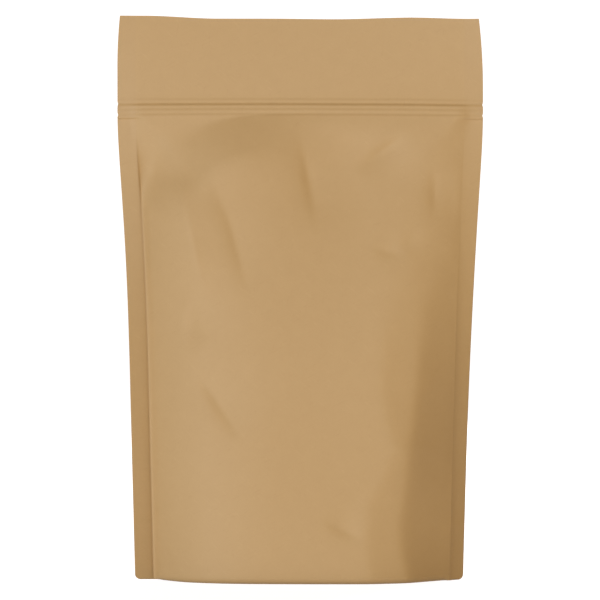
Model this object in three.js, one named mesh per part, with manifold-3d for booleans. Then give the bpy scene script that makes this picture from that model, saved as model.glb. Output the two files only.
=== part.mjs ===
// Bag of maize flour: a shut stand-up pouch of kraft-paper laminate, full of flour.
// Front and back panel are welded together down both sides. A press-to-close zip crosses the pouch
// under a flat header, and a folded gusset is the base that it stands on.
// Millimetres, +Z up, the front panel faces -Y, and the origin lies under the middle of the base.
import * as THREE from "three";
import { LoftGeometry } from "three/addons/geometries/LoftGeometry.js";
import { mergeVertices } from "three/addons/utils/BufferGeometryUtils.js";
import Module from "manifold-3d";

const { smoothstep, clamp, degToRad } = THREE.MathUtils;

// The empty pouch, laid flat
const flatWidth = 160; // across the header, seals included
const sealWidth = 8; // each side seal
const weldedZipShare = 0.4; // the zip is melted to this share of its relief at the seals' outer edge
const filmThickness = 0.35; // one panel, paper and lining together

// The filled pouch, standing
const height = 246; // floor to top edge
const zipHeight = 206; // floor to the middle of the zip
const pull = 15.2; // how far the bulge of both panels draws on the seals just below the zip
const pullDrop = 32; // the drop below the zip over which most of that comes
const pullLean = 0.037; // further pull for each millimetre down to the base
const drawIn = 0.9; // how strongly it draws the side seals towards each other
const bottomFoldRadius = 3; // the panels roll under into the gusset
const cornerRadius = 2.2; // the seals' lower corners

// The flour pushes the panels out: steeply from the left to the middle, and gently at the right
const fullSwell = 16; // swell of a panel's middle
const shoulderShare = 0.375; // share of it that comes in the shoulder, below the flour's upper end
const shoulderDrop = 20; // the drop that the shoulder takes
const shoulderEase = 2.5; // rounding of its lower end
const leftShoulder = { share: 0.6, drop: 25, at: -52, reach: 18 }; // it is fuller round this place
const bellyDrop = 60; // the drop over which most of the other share comes
const bellyLean = 0.037; // further swell for each millimetre down to the base
const gentleDrop = 120; // the drop that the whole swell takes at the right
const gentleEase = 15;
const gentleSpan = [-34, 30];
const leftStart = [
  [-76, 24], [-66, 18], [-60, 9], [-48, 8], [-40, 4], [-28, 1], [-10, 0],
]; // how much lower the flour starts at each x
const leftStartHeights = [130, 172];
const leftStartEase = 1 / 4; // rounding of the start, as a share of its drop
const leastEase = 0.01; // and where it has no drop

// Exponent of a panel's bulge: 2 is a parabola, more is a flatter panel. The front's changes with height
const backFlatness = 3.6;
const leftFlatness = [[110, 3.2], [150, 4.2], [172, 7]];
const rightFlatness = [[110, 3.6], [165, 7]];

// The right flank of the front panel is bent along two folds, each given by its [height, x] points
const flankCrest = [
  [4, 30], [22, 28], [34, 29], [45, 35], [58, 41.5], [66, 38.5],
  [83, 35], [105, 36], [125, 40], [143, 50], [154, 60],
];
const flankEdge = [
  [4, 46], [17, 43], [27, 43], [40, 45], [58, 47], [66, 48],
  [86, 50], [105, 51.5], [125, 54], [143, 58], [154, 63],
];
const crestShare = 0.33; // share of the flank's slope that starts at the crest
const crownShare = 0.04; // and the share that it has as a plain bulge
const flankSoftness = [[100, 1.2], [125, 3], [145, 7]]; // rounding of the two folds by height
const flankHeights = [146, 180]; // the folds run out between these

// The side seals don't stay in one plane: the left one leans forward and the right one back
const leftSealLean = degToRad(17);
const rightSealLean = degToRad(42);
const sealLeanDrop = 75; // the drop below the zip over which most of that lean comes
const sealLeanOnset = 1.5; // exponent: more leaves the seals straighter just below the zip
const zipAside = -0.5; // the zip sits a little to the left
const baseAside = 0.45; // and the base a little to the right
const turn = 8; // the upper part is twisted, its right end forward and its left end back
const turnHeights = [45, 145];

// The zip, pressed through the paper, stands out in steps on its way down. Each has its upper and lower end
// above the zip's middle, and its height
const zipSteps = [
  [5, 3.5, 0.25], [2.75, 1.25, 0.95], [0.6, -1, 0.35], [-1.7, -3.1, 0.3],
];
const zipFoot = -3; // below it the relief goes back into the panel
const zipBack = -45;
const zipWeldEnd = -4.4; // but the seals are welded flat from here down
const panelTop = -2.35; // the panels part this far from the zip's middle
const zipLift = 0.35; // the zip's middle rides this much higher
const zipTilt = 0.65; // its left end higher and its right end lower
const zipArch = 0.45; // both ends lower
const zipBow = 0.6; // and its middle further forward

// The header: the loose film above the zip curls a little
const leftTuck = 1.2; // each end of the top edge lies this much further in than the zip's
const leftTuckStart = 224;
const rightTuck = 1.9;
const rightTuckStart = 215;
const headerCurl = 4; // the corners of the top edge come forward against its middle
const headerCurlOnset = 1.5; // exponent: more keeps the curl closer to the top edge
const headerCurlMean = 0.4; // share of the curl that the middle goes back by
const leftCornerLift = 1.2; // the left corner stands higher
const leftCornerSpan = [36, 68]; // from the middle to the left
const leftTilt = 0.5; // the whole left half rises to its end
const rightCornerDrop = 1; // the right one stands lower
const rightCornerSpan = [45, 76];
const topEdgeDip = 0.45; // and the edge dips right of the middle
const topEdgeDipAt = 18;
const topEdgeDipReach = 18;

// The gusset: under each end of the base it folds up between the panels
const gussetRise = 24; // height of the fold at the seal
const gussetStart = 0.42; // where it leaves the floor, as a share of the base's half width
const gussetEnd = 0.95;
const gussetWall = 1.6; // the panels' edge left standing round it
const gussetTip = 0.5; // least half width of the hollow
const gussetOpening = 0.15; // share of its half width that it starts with
const gussetOpeningRate = 2; // and how fast it takes the rest
const gussetStep = 0.3; // height that it starts with
const gussetCurve = 1.4; // exponent of its rise towards the seal
const gussetArch = { width: 0.45, height: 0.62 }; // where the pointed arch bends, as shares of its own

// Soft folds of the two panels: where each starts and ends on the panel (x, z), its half width and its
// depth. A negative depth is a ridge, and where both ends are one point the fold is a round dent.
const foldNeeds = 2.5; // the swell at which folds are full, so that none cross the zip or the seals
const frontFolds = [
  { from: [-12, 190], to: [-42, 177], width: 5, depth: -0.5 }, // left shoulder, over the flour's step
  { from: [-51, 170], to: [-44, 130], width: 9, depth: -1.6 }, // below it
  { from: [-34, 164], to: [-25, 136], width: 4, depth: 1.1 }, // beside that
  { from: [0, 190], to: [7, 158], width: 5, depth: 1.3 }, // under the middle of the zip
  { from: [19, 185], to: [19, 185], width: 13, depth: 1.1 }, // dent beside it
  { from: [-43, 89], to: [-28, 66], width: 5, depth: 1.1 }, // left of the belly
];
const backFolds = [
  { from: [12, 196], to: [-4, 158], width: 5, depth: 1.2 },
  { from: [-66, 160], to: [-44, 126], width: 8, depth: 0.9 },
  { from: [58, 189], to: [58, 189], width: 10, depth: 1.3 },
  { from: [-50, 63], to: [-32, 41], width: 6, depth: 0.9 },
  { from: [57, 42], to: [46, 23], width: 6, depth: 0.9 },
];

// How finely the surface is divided
const panelColumns = 30;
const foldRows = 4;
const bellyRows = 24;
const shoulderRows = 14;
const zipRows = 15;
const headerRows = 7;
const shoulderTop = zipHeight + zipFoot;
const shoulderBottom = 160;
const zipTop = zipHeight + zipSteps[0][0];
const gussetColumns = 12;

const FRONT = -1;
const BACK = 1;
const LEFT = -1;
const RIGHT = 1;

const halfWidth = flatWidth / 2;
const halfPanel = halfWidth - sealWidth;
const bump = (distance, width) => Math.exp(-((distance / width) ** 2));
const ease = (value, [start, end]) => smoothstep(value, start, end);
const softPlus = (value, softness) =>
  Math.max(0, value) + softness * Math.log1p(Math.exp(-Math.abs(value) / softness));
const belowZip = (z) => Math.max(0, zipHeight + panelTop - z);

// The value between [place, value] points at a place.
function between(points, at) {
  const next = points.findIndex(([place]) => place > at);
  if (next === 0) return points[0][1];
  if (next < 0) return points.at(-1)[1];
  const [[place0, value0], [place1, value1]] = points.slice(next - 1, next + 1);
  return value0 + ((value1 - value0) * (at - place0)) / (place1 - place0);
}

// How far the flour pushes the middle of a panel out, at that drop below the flour's upper end.
function swell(x, drop) {
  const atLeft = bump(x - leftShoulder.at, leftShoulder.reach);
  const share = shoulderShare + (leftShoulder.share - shoulderShare) * atLeft;
  const length = shoulderDrop + (leftShoulder.drop - shoulderDrop) * atLeft;
  const shoulder = 1 - softPlus(length - drop, shoulderEase) / length;
  const steep = share * shoulder + (1 - share) * (1 - Math.exp(-drop / bellyDrop));
  const gentle = 1 - softPlus(gentleDrop - drop, gentleEase) / gentleDrop;
  return fullSwell * (steep + (gentle - steep) * ease(x, gentleSpan)) + bellyLean * drop;
}

// Half the distance between the inner lines of the two side seals at height z. Paper doesn't stretch, so a
// panel that bulges draws its own edges in until its length across is what it was flat.
function halfChord(z) {
  const drop = belowZip(z);
  const pulled = pull * (1 - Math.exp(-drop / pullDrop)) + pullLean * drop;
  return (halfPanel + Math.sqrt(halfPanel ** 2 - 4 * drawIn * pulled ** 2)) / 2;
}

// The drop of the point (x, z) below the flour's upper end.
function filledBelow(x, z) {
  const late = between(leftStart, x) * ease(z, leftStartHeights);
  return softPlus(belowZip(z) - late, leastEase + leftStartEase * late);
}

// The share of the swell at a place across a panel, from 1 in the middle to 0 at the seals.
function bulgeShare(side, place, z) {
  if (side === BACK) return 1 - Math.abs(place) ** backFlatness;
  const crown = Math.abs(place) ** between(place < 0 ? leftFlatness : rightFlatness, z);
  if (place <= 0) return 1 - crown;
  const chord = halfChord(z);
  const softness = between(flankSoftness, z);
  const fallen = (at) =>
    crownShare * chord * at ** backFlatness +
    crestShare * softPlus(at * chord - between(flankCrest, z), softness) +
    (1 - crestShare) * softPlus(at * chord - between(flankEdge, z), softness);
  const bent = 1 - ease(z, flankHeights);
  return 1 - crown - bent * (fallen(place) / fallen(1) - crown);
}

// Outward relief of the zip at height z.
function zipRelief(z) {
  const down = zipHeight - z;
  const goneBack = smoothstep(down, -zipFoot, -zipBack);
  return zipSteps.reduce(
    (relief, [top, bottom, out]) => relief + out * (smoothstep(down, -top, -bottom) - goneBack),
    0,
  );
}

// Inward relief of a list of soft folds at the point (x, z) of a panel.
function foldRelief(folds, x, z) {
  let relief = 0;
  for (const { from, to, width, depth } of folds) {
    const alongX = to[0] - from[0];
    const alongZ = to[1] - from[1];
    const lengthSquared = alongX ** 2 + alongZ ** 2 || 1;
    const share = clamp(((x - from[0]) * alongX + (z - from[1]) * alongZ) / lengthSquared, 0, 1);
    const distance = Math.hypot(x - from[0] - share * alongX, z - from[1] - share * alongZ);
    relief += depth * bump(distance, width);
  }
  return relief;
}

// How far the film stands forward (-Y) at the zip, in the header and where the upper part is twisted.
function headerForward(x, z) {
  const across = x / halfWidth;
  const share = clamp((z - zipHeight) / (height - zipHeight), 0, 1);
  const atZip = zipBow * (1 - across ** 2) * smoothstep(z, shoulderBottom, zipHeight);
  const atTop = headerCurl * (across ** 2 - headerCurlMean) * share ** headerCurlOnset;
  const turned = turn * across * ease(z, turnHeights);
  return atZip * (1 - share) + atTop + turned;
}

// How much of its full lean a side seal has at height z: none at the zip and nearly all at the base.
function leanShare(z) {
  return 1 - Math.exp(-((Math.max(0, zipHeight - z) / sealLeanDrop) ** sealLeanOnset));
}

// How far the pouch sits to the right at height z.
function aside(z) {
  return zipAside + (baseAside - zipAside) * leanShare(z);
}

// How far a point is lifted by the zip's arch and the wavy top edge.
function lift(x, z) {
  const share = clamp((z - zipHeight) / (height - zipHeight), 0, 1);
  const across = x / halfWidth;
  const raised = zipLift - zipTilt * across - zipArch * across ** 2;
  const arch = raised * smoothstep(z, shoulderBottom, zipHeight);
  const corner =
    leftCornerLift * ease(-x, leftCornerSpan) +
    leftTilt * Math.max(0, -across) -
    rightCornerDrop * ease(x, rightCornerSpan);
  const dip = topEdgeDip * bump(x - topEdgeDipAt, topEdgeDipReach);
  return arch * (1 - share) + (corner - dip) * share;
}

// How far the surface is drawn in where it rolls under into the base, at height z.
function rolledUnder(z, radius) {
  return z < radius ? radius - Math.sqrt(radius ** 2 - (radius - z) ** 2) : 0;
}

// A point of one panel at height z. The place across it is -1 to 1 between the seals' inner lines.
function panelPoint(side, place, z) {
  const x = place * halfChord(z);
  const filled = swell(x, filledBelow(x, z)) * bulgeShare(side, place, z);
  const slackFilm = smoothstep(filled, 0, foldNeeds);
  const folds = foldRelief(side === FRONT ? frontFolds : backFolds, x, z);
  const out =
    filmThickness + zipRelief(z) + filled - (folds + rolledUnder(z, bottomFoldRadius)) * slackFilm;
  return new THREE.Vector3(x + aside(z), side * out - headerForward(x, z), z + lift(x, z));
}

// A point on the outer edge of a side seal at height z, on its front or back face.
function sealEdgePoint(side, end, z) {
  const lean = (end === LEFT ? leftSealLean : -rightSealLean) * leanShare(z);
  const [tuck, start] = end === LEFT ? [leftTuck, leftTuckStart] : [rightTuck, rightTuckStart];
  const tucked = tuck * Math.max(0, (z - start) / (height - start)) ** 2;
  const reach = sealWidth - tucked - rolledUnder(z, cornerRadius);
  const x = end * (halfChord(z) + reach * Math.cos(lean));
  const forward = reach * Math.sin(lean) + headerForward(x, z);
  const welded = smoothstep(zipHeight - z, -zipFoot, -zipWeldEnd);
  const out = filmThickness + weldedZipShare * zipRelief(z) * (1 - welded);
  return new THREE.Vector3(x + aside(z), side * out - forward, z + lift(x, z));
}

// The outline of the pouch at height z: the front from left to right, then the back from right to left.
function ring(z) {
  const panel = (side) => {
    const points = [sealEdgePoint(side, LEFT, z)];
    for (let column = 0; column <= panelColumns; column++) {
      points.push(panelPoint(side, (2 * column) / panelColumns - 1, z));
    }
    points.push(sealEdgePoint(side, RIGHT, z));
    return points;
  };
  return [...panel(FRONT), ...panel(BACK).reverse()];
}

// The heights of the rings, closest together where the surface turns fastest.
function ringHeights() {
  const stretch = (from, to, count) =>
    Array.from({ length: count }, (_, step) => from + ((to - from) * step) / count);
  return [
    ...stretch(0, bottomFoldRadius, foldRows),
    ...stretch(bottomFoldRadius, shoulderBottom, bellyRows),
    ...stretch(shoulderBottom, shoulderTop, shoulderRows),
    ...stretch(shoulderTop, zipTop, zipRows),
    ...stretch(zipTop, height, headerRows),
    height,
  ];
}

// The hollow under one end of the base, where the gusset folds up between the panels: a pointed arch that
// widens along the panels' edge and rises towards the seal.
function gussetHollow(end) {
  const below = 1; // reaches through the base
  const sections = [];
  for (let column = 0; column <= gussetColumns; column++) {
    const share = column / gussetColumns;
    const place = gussetStart + (gussetEnd - gussetStart) * share;
    const x = end * place * halfChord(0) + aside(0);
    const reach = (side) => {
      const edge = swell(x, belowZip(0)) * bulgeShare(side, end * place, 0) - bottomFoldRadius;
      const opened = Math.min(1, gussetOpening + gussetOpeningRate * share);
      return side * Math.max(gussetTip, edge - gussetWall) * opened;
    };
    const front = reach(FRONT);
    const back = reach(BACK);
    const rise = gussetStep + gussetRise * share ** gussetCurve;
    const point = (y, z) => new THREE.Vector3(x, y, z);
    const section = [
      point(front, -below),
      point(back, -below),
      point(back, 0),
      point(gussetArch.width * back, gussetArch.height * rise),
      point(0, rise),
      point(gussetArch.width * front, gussetArch.height * rise),
      point(front, 0),
    ];
    sections.push(end === RIGHT ? section : section.reverse());
  }
  return new LoftGeometry(sections, { capStart: true, capEnd: true });
}

// Joins and cuts closed meshes.
const wasm = await Module();
wasm.setup();

const weldDistance = 1e-4; // points closer than this are one

function toSolid(loft) {
  const bare = new THREE.BufferGeometry();
  bare.setAttribute("position", loft.attributes.position);
  bare.setIndex(loft.index);
  const merged = mergeVertices(bare, weldDistance);
  return new wasm.Manifold(
    new wasm.Mesh({
      numProp: 3,
      vertProperties: merged.attributes.position.array,
      triVerts: new Uint32Array(merged.index.array),
    }),
  );
}

function toGeometry(solid) {
  const { vertProperties, triVerts } = solid.getMesh();
  const geometry = new THREE.BufferGeometry();
  geometry.setAttribute("position", new THREE.BufferAttribute(vertProperties, 3));
  geometry.setIndex(new THREE.BufferAttribute(triVerts, 1));
  geometry.computeVertexNormals();
  return geometry;
}

// The filled pouch, one welded piece.
function buildPouch() {
  const body = toSolid(new LoftGeometry(ringHeights().map(ring), { capStart: true, capEnd: true }));
  const hollowed = [LEFT, RIGHT].reduce((solid, end) => solid.subtract(toSolid(gussetHollow(end))), body);
  const kraft = new THREE.MeshStandardMaterial({ color: 0xc09e71, roughness: 0.8, metalness: 0 });
  const mesh = new THREE.Mesh(toGeometry(hollowed), kraft);
  mesh.name = "pouch";
  return mesh;
}

const bag = new THREE.Group();
bag.add(buildPouch());

export default bag;
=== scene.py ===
# Bag of maize flour: a shut stand-up pouch of kraft-paper laminate, welded at both sides and full of flour.
# Sizes are millimetres of the real pouch. The front panel faces -Y, and the pouch stands on the floor, z = 0.
import math

import bmesh
import bpy
import numpy as np
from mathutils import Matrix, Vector, noise


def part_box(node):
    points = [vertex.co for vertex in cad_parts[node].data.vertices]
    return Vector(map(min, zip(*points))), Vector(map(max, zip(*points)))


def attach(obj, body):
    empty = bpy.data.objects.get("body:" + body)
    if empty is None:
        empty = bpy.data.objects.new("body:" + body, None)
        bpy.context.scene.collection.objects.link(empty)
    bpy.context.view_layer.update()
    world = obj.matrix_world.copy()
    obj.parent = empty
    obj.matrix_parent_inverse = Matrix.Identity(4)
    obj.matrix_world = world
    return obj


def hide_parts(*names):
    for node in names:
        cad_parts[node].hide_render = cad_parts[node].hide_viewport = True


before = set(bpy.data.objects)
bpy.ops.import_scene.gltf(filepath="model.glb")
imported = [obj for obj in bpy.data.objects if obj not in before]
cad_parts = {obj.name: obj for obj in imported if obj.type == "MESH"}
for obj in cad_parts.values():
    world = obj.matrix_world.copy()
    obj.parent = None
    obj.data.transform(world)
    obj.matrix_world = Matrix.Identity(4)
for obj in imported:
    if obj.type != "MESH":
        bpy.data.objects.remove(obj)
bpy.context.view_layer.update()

# Front and back panel
# One sheet of kraft paper, laminated to a sealing film, welded at both sides and folded at the base, so that
# each panel has half of the gusset. The flour pushes the panels apart and, as paper doesn't stretch, that
# draws the seals in.
MM = 0.001
FRONT, BACK = -1, 1

low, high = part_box("pouch")
FLAT_WIDTH = (high.x - low.x) / MM
HEIGHT = 246.0
SEAL_WIDTH = 8.0
FILM = 0.35
HALF_WIDTH = FLAT_WIDTH / 2
HALF_PANEL = HALF_WIDTH - SEAL_WIDTH
ZIP_HEIGHT = 206.0  # of its middle
ZIP_HALF = 2.35  # from there to its upper and to its lower line

# The flour pushes a panel out steeply from the left to the middle, and gently at the right. A share of the
# swell comes in the shoulder, which is fuller round one place at the left, and the rest comes further down.
SWELL = 16.0
SHOULDER_SHARE, SHOULDER_DROP, SHOULDER_EASE = 0.375, 20.0, 2.5
LEFT_SHOULDER_SHARE, LEFT_SHOULDER_DROP = 0.6, 25.0
LEFT_SHOULDER_AT, LEFT_SHOULDER_REACH = -52.0, 18.0
GENTLE_DROP, GENTLE_EASE, GENTLE_SPAN = 120.0, 15.0, (-34, 30)
BELLY_DROP, BELLY_LEAN = 60.0, 0.037

# The bulge of both panels draws on the seals: how far just below the zip, the drop over which most of that
# comes, how much more for each millimetre down to the base, and how strongly it moves them.
PULL, PULL_DROP, PULL_LEAN, DRAW_IN = 15.2, 32.0, 0.037, 0.9


def smooth(values, start, end):
    """Eases from 0 at start to 1 at end."""
    share = np.clip((values - start) / (end - start), 0, 1)
    return share * share * (3 - 2 * share)


def bump(distance, width):
    """1 at no distance, fading out over the width."""
    return np.exp(-((distance / width) ** 2))


def hump(distance, peak):
    """0 at no distance, 1 at the peak, and fading out past it."""
    share = distance / peak
    return share * np.exp(1 - share)


def soft_step(values, softness):
    """0 below 0 and the value itself above, with a rounded corner."""
    return softness * np.logaddexp(0, values / softness)


def below_zip(up):
    """The drop below the zip's lower line."""
    return np.maximum(0, ZIP_HEIGHT - ZIP_HALF - up)


def swell(x, drop):
    """How far the flour pushes a panel out from the seals, at that drop below its upper end."""
    at_left = bump(x - LEFT_SHOULDER_AT, LEFT_SHOULDER_REACH)
    share = SHOULDER_SHARE + (LEFT_SHOULDER_SHARE - SHOULDER_SHARE) * at_left
    shoulder_drop = SHOULDER_DROP + (LEFT_SHOULDER_DROP - SHOULDER_DROP) * at_left
    shoulder = 1 - soft_step(shoulder_drop - drop, SHOULDER_EASE) / shoulder_drop
    steep = share * shoulder + (1 - share) * (1 - np.exp(-drop / BELLY_DROP))
    gentle = 1 - soft_step(GENTLE_DROP - drop, GENTLE_EASE) / GENTLE_DROP
    return SWELL * (steep + (gentle - steep) * smooth(x, *GENTLE_SPAN)) + BELLY_LEAN * drop


def half_chord(up):
    """Half the distance between the two seals' inner lines, for a panel that keeps its length across."""
    drop = below_zip(up)
    pull = PULL * (1 - np.exp(-drop / PULL_DROP)) + PULL_LEAN * drop
    return (HALF_PANEL + np.sqrt(HALF_PANEL**2 - 4 * DRAW_IN * pull**2)) / 2


# The closed zip, pressed through the paper, stands out in steps on its way down: where each starts and ends
# above the zip's middle, and its height. Below its end the relief goes back into the panel.
ZIP_STEPS = [(5.0, 3.5, 0.25), (2.75, 1.25, 0.95), (0.6, -1.0, 0.35), (-1.7, -3.1, 0.3)]
ZIP_END, ZIP_BACK = -3.0, -45.0
# The share of the relief that is melted away in a seal, how soon, and the drop from which none is left.
ZIP_MELTED, ZIP_MELT_REACH, ZIP_MELT_END = 0.6, 3.0, 4.4


def zip_relief(up):
    """How far the zip's steps stand out at a height."""
    rise = up - ZIP_HEIGHT
    relief = 0.0
    for top, bottom, height in ZIP_STEPS:
        relief = relief + height * (smooth(-rise, -top, -bottom) - smooth(-rise, -ZIP_END, -ZIP_BACK))
    return relief


def melted_zip(across, up):
    """The zip's relief, melted flatter in the side seals, which are welded shut below it."""
    reach = ZIP_MELT_REACH + np.maximum(0, ZIP_HEIGHT + ZIP_END - up)
    in_seal = smooth(np.abs(across), HALF_PANEL - reach, HALF_PANEL + ZIP_MELT_REACH)
    welded = np.maximum(ZIP_MELTED, smooth(ZIP_HEIGHT - up, -ZIP_END, ZIP_MELT_END))
    return zip_relief(up) * (1 - welded * in_seal)


# The upper part is twisted, with its right end in front. The zip bows forward and is a little arched and
# tilted, all from the shoulder's foot up, and the loose header above it curls.
TURN, TURN_SPAN = 8.0, (45, 145)
SHOULDER_FOOT = 160.0
ZIP_BOW, ZIP_LIFT, ZIP_TILT, ZIP_ARCH = 0.6, 0.35, 0.65, 0.45
HEADER_CURL, HEADER_CURL_MEAN, HEADER_CURL_ONSET = 4.0, 0.4, 1.5
# The top edge is wavy, and the left foot is lifted. Spans run from the middle, as shares of half the width.
LEFT_CORNER_LIFT, LEFT_CORNER_SPAN, LEFT_TILT = 1.2, (0.45, 0.85), 0.5
RIGHT_CORNER_DROP, RIGHT_CORNER_SPAN = 1.0, (0.56, 0.95)
TOP_DIP, TOP_DIP_AT, TOP_DIP_REACH = 0.45, 18.0, 18.0
LEFT_FOOT_LIFT, LEFT_FOOT_SPAN, LEFT_FOOT_HEIGHT = 0.7, (0.6, 0.9), 60.0


def header_share(up):
    """0 at the zip and below it, 1 at the top edge."""
    return np.clip((up - ZIP_HEIGHT) / (HEIGHT - ZIP_HEIGHT), 0, 1)


def header_forward(x, up):
    """How far the twist, the zip's bow and the header's curl bring a point forward."""
    across = x / HALF_WIDTH
    turned = TURN * across * smooth(up, *TURN_SPAN)
    share = header_share(up)
    at_zip = ZIP_BOW * (1 - across**2) * smooth(up, SHOULDER_FOOT, ZIP_HEIGHT)
    at_top = HEADER_CURL * (across**2 - HEADER_CURL_MEAN) * share**HEADER_CURL_ONSET
    return at_zip * (1 - share) + at_top + turned


def lift(x, up):
    """How far the zip's arch, the waves of the top edge and the left foot raise a point."""
    share = header_share(up)
    across = x / HALF_WIDTH
    arch = (ZIP_LIFT - ZIP_TILT * across - ZIP_ARCH * across**2) * smooth(up, SHOULDER_FOOT, ZIP_HEIGHT)
    corner = LEFT_CORNER_LIFT * smooth(-across, *LEFT_CORNER_SPAN) + LEFT_TILT * np.maximum(-across, 0)
    corner = corner - RIGHT_CORNER_DROP * smooth(across, *RIGHT_CORNER_SPAN)
    dip = TOP_DIP * bump(x - TOP_DIP_AT, TOP_DIP_REACH)
    foot = LEFT_FOOT_LIFT * smooth(-across, *LEFT_FOOT_SPAN) * smooth(-up, -LEFT_FOOT_HEIGHT, 0)
    return arch * (1 - share) + (corner - dip) * share + foot


# The flour's upper end hangs lower at the left: places from the middle, and how much lower it starts there.
# That start is rounded over a share of its drop, and the step runs out between two heights.
LEFT_START = [(-76, 24), (-66, 18), (-60, 9), (-48, 8), (-40, 4), (-28, 1), (-10, 0)]
LEFT_START_EASE, LEAST_EASE = 0.25, 0.01
LEFT_START_HEIGHTS = (130, 172)
CORNER_CUTS, CUT_SHARE = 3, 0.25


def rounded(line):
    """A line with its corners cut off several times, so that it runs as a curve."""
    for _ in range(CORNER_CUTS):
        cut = [line[0]]
        for (x0, z0), (x1, z1) in zip(line[:-1], line[1:]):
            for share in (CUT_SHARE, 1 - CUT_SHARE):
                cut.append(((1 - share) * x0 + share * x1, (1 - share) * z0 + share * z1))
        line = [*cut, line[-1]]
    return line


def filled_below(x, up):
    """The drop below the flour's upper end."""
    late = np.interp(x, *zip(*rounded(LEFT_START))) * smooth(up, *LEFT_START_HEIGHTS)
    return soft_step(below_zip(up) - late, LEAST_EASE + LEFT_START_EASE * late)


# Exponent of a panel's bulge: 2 is a parabola, more is a flatter panel. The front's changes with height.
BACK_FLATNESS = 3.6
LEFT_FLATNESS = [(110, 3.2), (150, 4.2), (172, 7)]
RIGHT_FLATNESS = [(110, 3.6), (165, 7)]
# The right flank of the front panel is bent along two folds, each given by its (height, x) points.
FLANK_CREST = [
    (4, 30), (22, 28), (34, 29), (45, 35), (58, 41.5), (66, 38.5),
    (83, 35), (105, 36), (125, 40), (143, 50), (154, 60),
]
FLANK_EDGE = [
    (4, 46), (17, 43), (27, 43), (40, 45), (58, 47), (66, 48),
    (86, 50), (105, 51.5), (125, 54), (143, 58), (154, 63),
]
# How round the two folds are by height, the heights between which they run out, the share of the flank's
# slope that starts at the crest, and the share that it has as a plain bulge.
FLANK_SOFTNESS = [(100, 1.2), (125, 3), (145, 7)]
FLANK_TOP, FLANK_FULL = 180.0, 146.0
CREST_SHARE, CROWN_SHARE, CROWN_FLATNESS = 0.33, 0.04, 3.6


def by_height(up, points):
    """The value at each height, from (height, value) points."""
    return np.interp(up, *zip(*points))


def bulge_share(place, up, side):
    """The share of the swell at a place across the panel, from 1 in the middle to 0 at the seals."""
    if side == BACK:
        return 1 - np.abs(place) ** BACK_FLATNESS
    flatness = np.where(place < 0, by_height(up, LEFT_FLATNESS), by_height(up, RIGHT_FLATNESS))
    crown = np.abs(place) ** flatness

    def fallen(at):
        fall = CROWN_SHARE * half_chord(up) * np.abs(at) ** CROWN_FLATNESS
        for share, fold in ((CREST_SHARE, FLANK_CREST), (1 - CREST_SHARE, FLANK_EDGE)):
            past = at * half_chord(up) - by_height(up, fold)
            fall = fall + share * soft_step(past, by_height(up, FLANK_SOFTNESS))
        return fall

    flank = fallen(place) / fallen(np.ones(place.shape))
    bent = smooth(-up, -FLANK_TOP, -FLANK_FULL) * (place > 0)
    return 1 - crown - bent * (flank - crown)


# Each fold is a crease along (x, height) points from its upper to its lower end. left and right are how fast
# the paper comes back to its level on either side. depth is inward, so that a negative one is a ridge.
# crease is how round it is.
FRONT_FOLDS = [
    dict(line=[(-4, 191), (-18, 188), (-34, 183), (-46, 172)], depth=-0.6, left=5, right=16, crease=2),
    dict(line=[(-52, 180), (-50, 163), (-46.5, 144), (-40, 116)], depth=-2.0, left=18, right=6),
    dict(line=[(-40, 182), (-35, 166), (-30.5, 157), (-27, 143), (-20, 118)], depth=1.5, left=4, right=12),
    dict(line=[(-1, 200), (4, 176), (8.5, 150)], depth=2.0, left=3.5, right=16),
    dict(line=[(49, 197), (23, 178)], depth=1.7, left=1.8, right=8),
    dict(line=[(58.5, 183), (58.5, 155)], depth=1.3, left=2.2, right=8),
    dict(line=[(53, 155), (47, 148), (42, 143)], depth=0.45, left=1.8, right=4),
    dict(line=[(47, 142.5), (39, 143), (30, 146)], depth=0.7, left=4, right=2.2),
    dict(line=[(-47.5, 124), (-48, 98)], depth=1.0, left=1.4, right=6),
    dict(line=[(-50, 99), (-36, 78), (-22, 57)], depth=1.6, left=3.5, right=12),
    dict(line=[(8, 29), (28, 18)], depth=1.0, left=2.2, right=8),
]
BACK_FOLDS = [
    dict(line=[(12, 196), (5, 178), (-4, 158)], depth=1.2, left=14, right=4),
    dict(line=[(-70, 165), (-54, 146), (-44, 126)], depth=0.9, left=6, right=12, crease=3),
    dict(line=[(30, 162), (26, 148), (28, 134)], depth=0.8, left=3, right=12),
    dict(line=[(-22, 190), (-38, 183)], depth=0.8, left=3, right=9),
    dict(line=[(-52, 66), (-40, 52), (-30, 38)], depth=0.9, left=5, right=10, crease=2),
    dict(line=[(48, 96), (40, 80), (30, 68)], depth=0.7, left=10, right=3),
    dict(line=[(58, 44), (52, 32), (44, 20)], depth=0.9, left=5, right=8, crease=2),
    dict(line=[(-12, 30), (-24, 23)], depth=0.7, left=3, right=8),
]
SHARP_CREASE = 0.8
# Soft dents near the flour's upper end, each with its middle, its half width and half height, and its depth.
FRONT_DENTS = [dict(at=(19, 185), reach=(15, 12), depth=0.8)]
BACK_DENTS = [dict(at=(58, 189), reach=(11, 9), depth=1.6), dict(at=(-18, 186), reach=(10, 9), depth=1.0)]
# Lumps of flour, and puckers beside the seals. Each panel takes its own layer of the same noise.
LUMP_SIZE, LUMP_HEIGHT, LUMP_LAYER = 38.0, 0.35, 7.0
PUCKER_PITCH, PUCKER_REACH, PUCKER_DEPTH, PUCKER_LAYER = 15.0, 9.0, 0.25, 3.0


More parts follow.
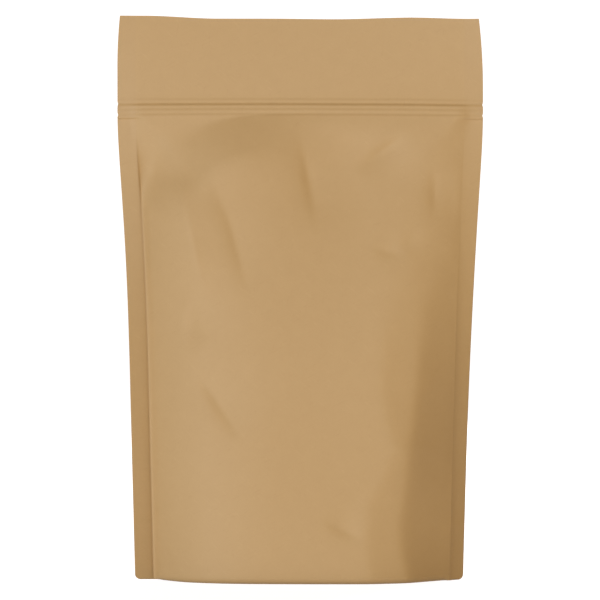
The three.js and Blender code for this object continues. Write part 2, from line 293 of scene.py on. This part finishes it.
def fold_relief(x, up, line, depth, left, right, crease=SHARP_CREASE):
    """Inward relief of one fold, which fades out towards its ends."""
    line = rounded(line)
    nearest = np.full(x.shape, np.inf)
    aside, along = np.zeros(x.shape), np.zeros(x.shape)
    walked = 0.0
    for (x0, z0), (x1, z1) in zip(line[:-1], line[1:]):
        run_x, run_z = x1 - x0, z1 - z0
        length = math.hypot(run_x, run_z)
        share = np.clip(((x - x0) * run_x + (up - z0) * run_z) / length**2, 0, 1)
        off_x, off_z = x - x0 - share * run_x, up - z0 - share * run_z
        distance = np.hypot(off_x, off_z)
        closer = distance < nearest
        nearest = np.where(closer, distance, nearest)
        aside = np.where(closer, off_z * run_x - off_x * run_z, aside)
        along = np.where(closer, walked + share * length, along)
        walked += length
    reach = np.where(aside > 0, right, left)
    fade = np.sin(np.pi * along / walked) ** 2
    return depth * fade * np.exp((crease - np.hypot(nearest, crease)) / reach)


def dent_relief(x, up, at, reach, depth):
    """Inward relief of one dent."""
    return depth * bump(np.hypot((x - at[0]) / reach[0], (up - at[1]) / reach[1]), 1)


def panel_relief(x, up, place, side):
    """What the slack paper adds to the plain bulge: folds, dents, soft lumps and puckers at the seals."""
    folds, dents = (FRONT_FOLDS, FRONT_DENTS) if side == FRONT else (BACK_FOLDS, BACK_DENTS)
    relief = np.zeros(x.shape)
    for fold in folds:
        relief -= fold_relief(x, up, **fold)
    for dent in dents:
        relief -= dent_relief(x, up, **dent)
    lumps = [noise.noise((a / LUMP_SIZE, b / LUMP_SIZE, LUMP_LAYER * side)) for a, b in zip(x, up)]
    relief += LUMP_HEIGHT * np.array(lumps)
    puckers = [
        noise.noise((PUCKER_LAYER * np.sign(a), b / PUCKER_PITCH, PUCKER_LAYER * side)) for a, b in zip(x, up)
    ]
    relief += PUCKER_DEPTH * np.array(puckers) * hump(HALF_PANEL * (1 - np.abs(place)), PUCKER_REACH)
    return relief


# The side seals don't stay in one plane: below the zip the left one leans forward and the right one back. On
# the inner side of that bend the panel follows the seal over the flex. Just outside its inner line a seal
# bends more sharply.
LEFT_SEAL_LEAN, RIGHT_SEAL_LEAN = math.radians(17), math.radians(42)
SEAL_LEAN_DROP, SEAL_LEAN_ONSET = 75.0, 1.5
SEAL_FLEX = 1.5
SEAL_HOLLOW, SEAL_HOLLOW_REACH = 1.2, 1.6
# Near the flour's upper end, both panels are tucked back beside the left seal.
SEAL_TUCK, SEAL_TUCK_WIDTH, SEAL_TUCK_AT, SEAL_TUCK_REACH = 3.2, 10.0, 176.0, 12.0
# The zip sits a little to the left and the base a little to the right.
ZIP_ASIDE, BASE_ASIDE = -0.5, 0.45
# The cut edge is drawn in at the ends of the top edge, at the zip's two lines and at the lower corner.
LEFT_TUCK, LEFT_TUCK_START = 1.2, 224.0
RIGHT_TUCK, RIGHT_TUCK_START = 1.9, 215.0
ZIP_NOTCH, ZIP_NOTCH_REACH = 0.3, 0.6
CORNER_RADIUS = 2.2


def lean_share(up):
    """How much of its full lean a seal has: none at the zip and nearly all at the base."""
    return 1 - np.exp(-((np.maximum(0, ZIP_HEIGHT - up) / SEAL_LEAN_DROP) ** SEAL_LEAN_ONSET))


def rolled_under(up, radius):
    """How far the surface is drawn in where it rolls under."""
    depth = np.clip(radius - up, 0, radius)
    return radius - np.sqrt(radius**2 - depth**2)


def edge_drawn_in(across, up, at):
    """How far a seal's cut edge lies inside a straight one."""
    drawn_in = rolled_under(at, CORNER_RADIUS)
    for way, tuck, start in ((-1, LEFT_TUCK, LEFT_TUCK_START), (1, RIGHT_TUCK, RIGHT_TUCK_START)):
        drawn_in += tuck * np.maximum(0, (up - start) / (HEIGHT - start)) ** 2 * (np.sign(across) == way)
    for way in (-1, 1):
        drawn_in += ZIP_NOTCH * bump(up - ZIP_HEIGHT - way * ZIP_HALF, ZIP_NOTCH_REACH)
    return drawn_in


BOTTOM_ROLL = 3.0
MOUTH_GAP = 0.5
RELIEF_NEEDS = 2.5  # the swell at which folds are full, so that none cross the zip or the seals
# The gusset: half its sheet, the height of its fold at the seals, the share of half the panel at which that
# leaves the floor, and how it rises from there, along the base and across it.
GUSSET_HALF = 23.4
GUSSET_RISE, GUSSET_START = 24.0, 0.42
GUSSET_CURVE, GUSSET_FOLD_CURVE = 1.4, 1.3
# Where the gusset is welded in, its own two plies hold the panels further apart. Just under the base that
# fades out.
PLY_EASE, PLY_REACH, BASE_CLOSING = 3.0, 4.0, 1.2


def panel_points(side, across, level):
    """Points of a panel's outer face. across is from the middle of the flat sheet, and level is the height
    on it. Below 0 it is the panel's half of the gusset, which lies on the floor and folds up between the
    seals."""
    up = np.maximum(level, 0)
    under = np.clip(-level / GUSSET_HALF, 0, 1)
    place = np.clip(across / HALF_PANEL, -1, 1)
    from_start = np.maximum(0, (np.abs(place) - GUSSET_START) / (1 - GUSSET_START))
    at = up + GUSSET_RISE * from_start**GUSSET_CURVE * under**GUSSET_FOLD_CURVE

    x = place * half_chord(at)
    from_seal = half_chord(at) * (1 - np.abs(place))
    in_valley = (across < 0) if side == FRONT else (across > 0)
    flexed = 1 - bump(from_seal, SEAL_FLEX) * in_valley
    filled = swell(x, filled_below(x, up)) * bulge_share(place, up, side) * flexed
    slack = smooth(filled, 0, RELIEF_NEEDS)
    mouth = MOUTH_GAP * (1 - place**2) * header_share(up) ** 2
    out = melted_zip(across, up) + mouth + filled + panel_relief(x, up, place, side) * slack
    out -= rolled_under(up, BOTTOM_ROLL) * slack
    plies = FILM * (1 + smooth(GUSSET_RISE + PLY_EASE - up, 0, PLY_EASE) * bump(from_seal, PLY_REACH))
    out = out * (1 - under) + plies * smooth(level, -BASE_CLOSING, 0)

    on_seal = np.maximum(np.abs(across) - HALF_PANEL, 0)
    lean = np.where(across < 0, LEFT_SEAL_LEAN, -RIGHT_SEAL_LEAN) * lean_share(up)
    reach = on_seal * (1 - edge_drawn_in(across, up, at) / SEAL_WIDTH)
    follows = from_seal * np.exp(-from_seal / SEAL_FLEX) * in_valley
    hollow = SEAL_HOLLOW * (1 - np.exp(-on_seal / SEAL_HOLLOW_REACH))
    x = x + np.sign(across) * reach * np.cos(lean) + ZIP_ASIDE + (BASE_ASIDE - ZIP_ASIDE) * lean_share(up)
    forward = (reach + hollow - follows) * np.sin(lean) + header_forward(x, up)
    tucked = hump(from_seal, SEAL_TUCK_WIDTH) * (across < 0)
    forward -= SEAL_TUCK * tucked * bump(up - SEAL_TUCK_AT, SEAL_TUCK_REACH)
    return np.stack((x, side * out - forward, at + lift(x, up)), axis=1)


# The sheet's columns lie closest at the seals' inner lines, and its rows at the base and the zip.
SEAL_BAND = 0.9
COLUMN_SHARES = (-1, -0.907, -0.827, 0.827, 0.907, 1)
COLUMN_PLACES = (
    -HALF_WIDTH,
    -HALF_PANEL - SEAL_BAND,
    -HALF_PANEL + SEAL_BAND,
    HALF_PANEL - SEAL_BAND,
    HALF_PANEL + SEAL_BAND,
    HALF_WIDTH,
)
ROW_SHARES = (-1, -0.86, -0.78, 0.5, 0.79, 1)
ROW_LEVELS = (-GUSSET_HALF, -1.5, 4, 199, 211, HEIGHT)
COLUMNS, ROWS = 150, 260
# The weld's inner line: pressed a little darker, and painted shade where the panel bends into it, from some
# way below the zip.
SEAL_LINE_WIDTH, SEAL_LINE_SPAN = 0.5, (8, 30)
SEAL_TOLERANCE = 0.01


def make_panel(name, side):
    """One panel: a flat sheet of paper laid over the filled form and given the film's thickness."""
    bm = bmesh.new()
    bmesh.ops.create_grid(bm, x_segments=COLUMNS, y_segments=ROWS, size=1)
    flat = np.array([vert.co.xy for vert in bm.verts])
    across = np.interp(flat[:, 0], COLUMN_SHARES, COLUMN_PLACES)
    level = np.interp(flat[:, 1], ROW_SHARES, ROW_LEVELS)
    along_sheet = level if side == FRONT else -2 * GUSSET_HALF - level
    sealed = bm.verts.layers.float.new("sealed")
    weld_line_and_shade = bm.verts.layers.float.new("weld_line_and_shade")
    sheet = bm.loops.layers.uv.new("sheet")
    for face in bm.faces:
        for loop in face.loops:
            at = loop.vert.index
            loop[sheet].uv = across[at] * MM, along_sheet[at] * MM
    for vert, point, place, rise in zip(bm.verts, panel_points(side, across, level), across, level):
        vert.co = Vector(point) * MM
        vert[sealed] = float(abs(place) > HALF_PANEL - SEAL_TOLERANCE)
        # painted shade: only on the side where the panel bends into the seal, deepening below the zip
        line = bump(abs(place) - HALF_PANEL, SEAL_LINE_WIDTH) * smooth(ZIP_HEIGHT - rise, *SEAL_LINE_SPAN)
        vert[weld_line_and_shade] = float(line * (place * side > 0))
    if side == BACK:
        bmesh.ops.reverse_faces(bm, faces=bm.faces)
    for face in bm.faces:
        face.smooth = True
    for edge in bm.edges:
        edge.smooth = not edge.is_boundary
    mesh = bpy.data.meshes.new(name)
    bm.to_mesh(mesh)
    bm.free()
    piece = bpy.data.objects.new(name, mesh)
    bpy.context.collection.objects.link(piece)
    thickness = piece.modifiers.new("film", "SOLIDIFY")
    thickness.thickness = FILM * MM
    thickness.offset = -1
    return piece


def linear(hex_colour):
    """An sRGB hex colour as linear RGBA."""
    channels = [int(hex_colour[at : at + 2], 16) / 255 for at in (1, 3, 5)]
    return (*[c / 12.92 if c <= 0.04045 else ((c + 0.055) / 1.055) ** 2.4 for c in channels], 1)


def add(tree, kind, inputs=None, **settings):
    """Adds a node with its settings. An input is a value, or the socket that feeds it."""
    node = tree.nodes.new(kind)
    for name, value in settings.items():
        setattr(node, name, value)
    for socket, value in (inputs or {}).items():
        if isinstance(value, bpy.types.NodeSocket):
            tree.links.new(value, node.inputs[socket])
        else:
            node.inputs[socket].default_value = value
    return node


MIX_SHARE, MIX_A, MIX_B, MIX_RESULT = 0, 6, 7, 2  # the sockets of a Mix node that mixes colours

# Unbleached kraft paper, machine finished: a dry, matte brown sheet with cloudy formation and short fibres.
# The welds are pressed a little smoother and darker; painted shade darkens their inner lines in the hollow
# crease.
KRAFT_DARK, KRAFT_LIGHT, KRAFT_PRESSED_AND_SHADED = "#bb9c6f", "#bfa073", "#9a774b"
CLOUD_SIZE = 7.0
FIBRES = ((25, "#a58153"), (-40, "#d2b58c"), (80, "#ad895b"))  # directions in degrees, and colours
FIBRE_LENGTH, FIBRE_WIDTH = 5.0, 0.6  # drawn about ten times too wide, so that fibres show at all
FIBRE_SPAN, FIBRE_STRENGTH = (0.6, 0.8), 0.12
SEAL_DARKENING, SEAL_LINE_DARKENING = 0.05, 0.35
PAPER_ROUGHNESS, SEAL_ROUGHNESS, PAPER_IOR = 0.66, 0.6, 1.5
TOOTH_SIZE, TOOTH_DEPTH = 0.7, 0.008  # drawn coarser than the real tooth, so that it shows


def make_kraft():
    material = bpy.data.materials.new("kraft_paper")
    material.use_nodes = True
    tree = material.node_tree
    tree.nodes.clear()
    sheet = add(tree, "ShaderNodeUVMap", uv_map="sheet").outputs["UV"]
    clouds = add(tree, "ShaderNodeTexNoise", {"Vector": sheet, "Scale": 1 / (CLOUD_SIZE * MM), "Detail": 4.0})
    paper = add(
        tree,
        "ShaderNodeMix",
        {MIX_SHARE: clouds.outputs["Fac"], MIX_A: linear(KRAFT_DARK), MIX_B: linear(KRAFT_LIGHT)},
        data_type="RGBA",
    ).outputs[MIX_RESULT]
    for turn, colour in FIBRES:
        laid = add(
            tree,
            "ShaderNodeMapping",
            {
                "Vector": sheet,
                "Rotation": (0, 0, math.radians(turn)),
                "Scale": (FIBRE_LENGTH * MM, FIBRE_WIDTH * MM, 1),
            },
            vector_type="TEXTURE",
        )
        strands = add(
            tree,
            "ShaderNodeTexNoise",
            {"Vector": laid.outputs["Vector"], "Scale": 1.0, "Detail": 1.0, "Distortion": 0.6},
        )
        fibres = add(
            tree,
            "ShaderNodeMapRange",
            {
                "Value": strands.outputs["Fac"],
                "From Min": FIBRE_SPAN[0],
                "From Max": FIBRE_SPAN[1],
                "To Min": 0.0,
                "To Max": FIBRE_STRENGTH,
            },
        )
        paper = add(
            tree,
            "ShaderNodeMix",
            {MIX_SHARE: fibres.outputs["Result"], MIX_A: paper, MIX_B: linear(colour)},
            data_type="RGBA",
        ).outputs[MIX_RESULT]
    sealed = add(tree, "ShaderNodeAttribute", attribute_name="sealed").outputs["Fac"]
    weld_line_and_shade = add(tree, "ShaderNodeAttribute", attribute_name="weld_line_and_shade").outputs["Fac"]
    # The seal band's slight darkening is the pressed weld; the stronger one along the inner line is mostly
    # painted shade.
    for darkened, most in ((sealed, SEAL_DARKENING), (weld_line_and_shade, SEAL_LINE_DARKENING)):
        share = add(tree, "ShaderNodeMapRange", {"Value": darkened, "To Min": 0.0, "To Max": most})
        paper = add(
            tree,
            "ShaderNodeMix",
            {MIX_SHARE: share.outputs["Result"], MIX_A: paper, MIX_B: linear(KRAFT_PRESSED_AND_SHADED)},
            data_type="RGBA",
        ).outputs[MIX_RESULT]
    roughness = add(
        tree, "ShaderNodeMapRange", {"Value": sealed, "To Min": PAPER_ROUGHNESS, "To Max": SEAL_ROUGHNESS}
    )
    tooth = add(tree, "ShaderNodeTexNoise", {"Vector": sheet, "Scale": 1 / (TOOTH_SIZE * MM), "Detail": 3.0})
    grain = add(
        tree,
        "ShaderNodeBump",
        {"Height": tooth.outputs["Fac"], "Strength": 1.0, "Distance": TOOTH_DEPTH * MM},
    )
    surface = add(
        tree,
        "ShaderNodeBsdfPrincipled",
        {
            "Base Color": paper,
            "Roughness": roughness.outputs["Result"],
            "Normal": grain.outputs["Normal"],
            "IOR": PAPER_IOR,
        },
    )
    add(tree, "ShaderNodeOutputMaterial", {"Surface": surface.outputs["BSDF"]})
    return material


kraft = make_kraft()
for name, side in (("front_panel", FRONT), ("back_panel", BACK)):
    panel = make_panel(name, side)
    panel.data.materials.append(kraft)
    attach(panel, "root")
    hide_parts("pouch")

# Zip
# Two interlocked strips of polythene between the panels, pressed shut and made as one. Their ends are melted
# flatter in the side seals and show as a pale line in the cut edge.
STRIP_HALF_HEIGHT = 4.0
STRIP_END_INSET = 0.35
STRIP_FIT = 0.97  # of the room between the panels
STRIP_EDGE_RATE = 3.0  # how fast its thin upper and lower edges take up that room
STRIP_SIDES, STRIP_STEPS = 48, 60

bm = bmesh.new()
bmesh.ops.create_circle(bm, cap_ends=True, radius=1, segments=STRIP_SIDES)
bmesh.ops.spin(
    bm,
    geom=[*bm.verts, *bm.edges, *bm.faces],
    dvec=(0, 0, 1 / STRIP_STEPS),
    axis=(0, 0, 1),
    angle=0,
    steps=STRIP_STEPS,
)
bmesh.ops.recalc_face_normals(bm, faces=bm.faces)
for vert in bm.verts:
    across = (2 * vert.co.z - 1) * (HALF_WIDTH - STRIP_END_INSET)
    x = across + ZIP_ASIDE
    up = ZIP_HEIGHT + STRIP_HALF_HEIGHT * vert.co.x
    half_thickness = melted_zip(across, up) * STRIP_FIT * min(1, STRIP_EDGE_RATE * abs(vert.co.y))
    out = math.copysign(half_thickness, vert.co.y)
    vert.co = Vector((x, out - header_forward(x, up), up + lift(x, up))) * MM
bmesh.ops.recalc_face_normals(bm, faces=bm.faces)
for face in bm.faces:
    face.smooth = True
strip_mesh = bpy.data.meshes.new("zip_strip")
bm.to_mesh(strip_mesh)
bm.free()
zip_strip = bpy.data.objects.new("zip_strip", strip_mesh)
bpy.context.collection.objects.link(zip_strip)

# Natural low-density polythene, extruded: milky, waxy and faintly streaked along the strip.
MILK_DARK, MILK_LIGHT = "#d9d5cb", "#eeebe4"
STREAK_LENGTH, STREAK_WIDTH = 30.0, 0.8
WAX_ROUGHNESS, POLYTHENE_IOR = (0.35, 0.5), 1.51

polythene = bpy.data.materials.new("natural_polythene")
polythene.use_nodes = True
tree = polythene.node_tree
tree.nodes.clear()
place = add(tree, "ShaderNodeTexCoord").outputs["Object"]
drawn = add(
    tree,
    "ShaderNodeMapping",
    {"Vector": place, "Scale": [1 / (size * MM) for size in (STREAK_LENGTH, STREAK_WIDTH, STREAK_WIDTH)]},
)
streaks = add(tree, "ShaderNodeTexNoise", {"Vector": drawn.outputs["Vector"], "Scale": 1.0, "Detail": 2.0})
milk = add(
    tree,
    "ShaderNodeMix",
    {MIX_SHARE: streaks.outputs["Fac"], MIX_A: linear(MILK_DARK), MIX_B: linear(MILK_LIGHT)},
    data_type="RGBA",
)
wax = add(
    tree,
    "ShaderNodeMapRange",
    {"Value": streaks.outputs["Fac"], "To Min": WAX_ROUGHNESS[0], "To Max": WAX_ROUGHNESS[1]},
)
surface = add(
    tree,
    "ShaderNodeBsdfPrincipled",
    {"Base Color": milk.outputs[MIX_RESULT], "Roughness": wax.outputs["Result"], "IOR": POLYTHENE_IOR},
)
add(tree, "ShaderNodeOutputMaterial", {"Surface": surface.outputs["BSDF"]})
strip_mesh.materials.append(polythene)
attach(zip_strip, "root")

# Shooting table
# A sheet of milky acrylic under the pouch that bends up well behind it. It is lit from below and from behind,
# more strongly towards the top, so that the pouch stands against white. Its sizes are metres.
TABLE_HALF_WIDTH, TABLE_FRONT, TABLE_BACK = 5.0, -5.0, 2.2
COVE_RADIUS, COVE_STEPS, WALL_HEIGHT = 0.8, 16, 3.0

bm = bmesh.new()
front_edge = bm.edges.new([bm.verts.new((way * TABLE_HALF_WIDTH, TABLE_FRONT, 0)) for way in (-1, 1)])


def pulled_on(edges, move):
    """Pulls the sheet's last edge on by a move and returns the new last edge."""
    grown = bmesh.ops.extrude_edge_only(bm, edges=edges)["geom"]
    verts = [item for item in grown if isinstance(item, bmesh.types.BMVert)]
    bmesh.ops.translate(bm, verts=verts, vec=move)
    grown_edges = [item for item in grown if isinstance(item, bmesh.types.BMEdge)]
    return [edge for edge in grown_edges if set(edge.verts) == set(verts)]


last = pulled_on([front_edge], (0, TABLE_BACK - TABLE_FRONT, 0))
spun = bmesh.ops.spin(
    bm,
    geom=[*last, *last[0].verts],
    cent=(0, TABLE_BACK, COVE_RADIUS),
    axis=(1, 0, 0),
    angle=math.radians(90),
    steps=COVE_STEPS,
)["geom_last"]
pulled_on([item for item in spun if isinstance(item, bmesh.types.BMEdge)], (0, 0, WALL_HEIGHT))
bmesh.ops.recalc_face_normals(bm, faces=bm.faces)
for face in bm.faces:
    face.smooth = True
table_mesh = bpy.data.meshes.new("shooting_table")
bm.to_mesh(table_mesh)
bm.free()
table = bpy.data.objects.new("shooting_table", table_mesh)
bpy.context.collection.objects.link(table)

# Milky cast acrylic with a matt face: it spreads the lamps behind it into an even, faintly cool white.
ACRYLIC, ACRYLIC_GLOW = "#c8c8c8", "#fafbff"
ACRYLIC_ROUGHNESS, ACRYLIC_GLOSS = 0.7, 0.1
TABLE_GLOW, WALL_GLOW, GLOW_RISE = 0.9, 0.97, COVE_RADIUS / 5

acrylic = bpy.data.materials.new("milky_acrylic")
acrylic.use_nodes = True
tree = acrylic.node_tree
tree.nodes.clear()
place = add(tree, "ShaderNodeTexCoord").outputs["Object"]
rise = add(tree, "ShaderNodeSeparateXYZ", {"Vector": place}).outputs["Z"]
glow = add(
    tree,
    "ShaderNodeMapRange",
    {"Value": rise, "From Min": 0.0, "From Max": GLOW_RISE, "To Min": TABLE_GLOW, "To Max": WALL_GLOW},
)
surface = add(
    tree,
    "ShaderNodeBsdfPrincipled",
    {
        "Base Color": linear(ACRYLIC),
        "Roughness": ACRYLIC_ROUGHNESS,
        "Specular IOR Level": ACRYLIC_GLOSS,
        "Emission Color": linear(ACRYLIC_GLOW),
        "Emission Strength": glow.outputs["Result"],
    },
)
add(tree, "ShaderNodeOutputMaterial", {"Surface": surface.outputs["BSDF"]})
table_mesh.materials.append(acrylic)
table.visible_diffuse = False  # the lit card stands in for what it would throw on the pouch

# Screen
# A round white screen round the table, of the same lit acrylic. It closes the view to the sides and the
# front, and neither lights the pouch nor keeps light off it. Its sizes are metres.
SCREEN_RADIUS, SCREEN_HEIGHT, SCREEN_SIDES = 6.5, 8.0, 96

bm = bmesh.new()
bmesh.ops.create_cone(
    bm, segments=SCREEN_SIDES, radius1=SCREEN_RADIUS, radius2=SCREEN_RADIUS, depth=SCREEN_HEIGHT
)
bmesh.ops.reverse_faces(bm, faces=bm.faces)
screen_mesh = bpy.data.meshes.new("screen")
bm.to_mesh(screen_mesh)
bm.free()
screen_mesh.materials.append(acrylic)
screen = bpy.data.objects.new("screen", screen_mesh)
bpy.context.collection.objects.link(screen)
screen.visible_diffuse = screen.visible_glossy = screen.visible_shadow = False

# Light
# A broad soft box in front on the left, a warm one on the right, one behind, a lit white card on the table
# before the pouch, and warm light from the room. Places and sizes are metres.
POUCH_MIDDLE = Vector((0, 0, 0.12))
WHITE, WARM = "#ffffff", "#ffdd9c"
CARD_AT = (0, -1.23, 0.001)
ROOM_STRENGTH = 0.19


def soft_box(name, place, width, height, watts, colour):
    """An area light that faces the pouch."""
    data = bpy.data.lights.new(name, "AREA")
    data.shape = "RECTANGLE"
    data.size, data.size_y = width, height
    data.energy = watts
    data.color = linear(colour)[:3]
    light = bpy.data.objects.new(name, data)
    light.location = place
    light.rotation_euler = (POUCH_MIDDLE - light.location).to_track_quat("-Z", "Y").to_euler()
    light.visible_camera = False
    bpy.context.collection.objects.link(light)
    return light


def around(azimuth, elevation, distance):
    """A point round the pouch. Azimuth 0 is in front, and negative is to the left."""
    turn, rise = math.radians(azimuth), math.radians(elevation)
    away = Vector((math.sin(turn) * math.cos(rise), -math.cos(turn) * math.cos(rise), math.sin(rise)))
    return POUCH_MIDDLE + away * distance


soft_box("key", around(-32, 2, 5.0), width=3.4, height=0.5, watts=174, colour=WHITE)
soft_box("fill", around(60, 8, 2.0), width=1.6, height=1.2, watts=10, colour=WARM)
soft_box("behind", around(160, 30, 1.9), width=1.0, height=1.0, watts=20, colour=WHITE)
card = soft_box("card", CARD_AT, width=4.4, height=2.4, watts=7, colour=WHITE)
card.rotation_euler = (math.radians(180), 0, 0)

world = bpy.data.worlds.new("room")
world.use_nodes = True
room = world.node_tree.nodes["Background"]
room.inputs["Color"].default_value = linear(WARM)
room.inputs["Strength"].default_value = ROOM_STRENGTH
bpy.context.scene.world = world
bpy.context.scene.view_settings.view_transform = "Standard"

# Camera
# A long lens in front, level with the middle of the pouch. Its places and the width that it sees are metres.
CAMERA_DISTANCE = 1.45
CAMERA_HEIGHT = 0.1227
CAMERA_ASIDE = -0.00015
VIEW_WIDTH = 0.2627  # at the seals

lens = bpy.data.cameras.new("camera")
lens.sensor_width = 36
lens.lens = lens.sensor_width * CAMERA_DISTANCE / VIEW_WIDTH
camera = bpy.data.objects.new("camera", lens)
camera.location = (CAMERA_ASIDE, -CAMERA_DISTANCE, CAMERA_HEIGHT)
camera.rotation_euler = (math.radians(90), 0, 0)
bpy.context.collection.objects.link(camera)
bpy.context.scene.camera = camera
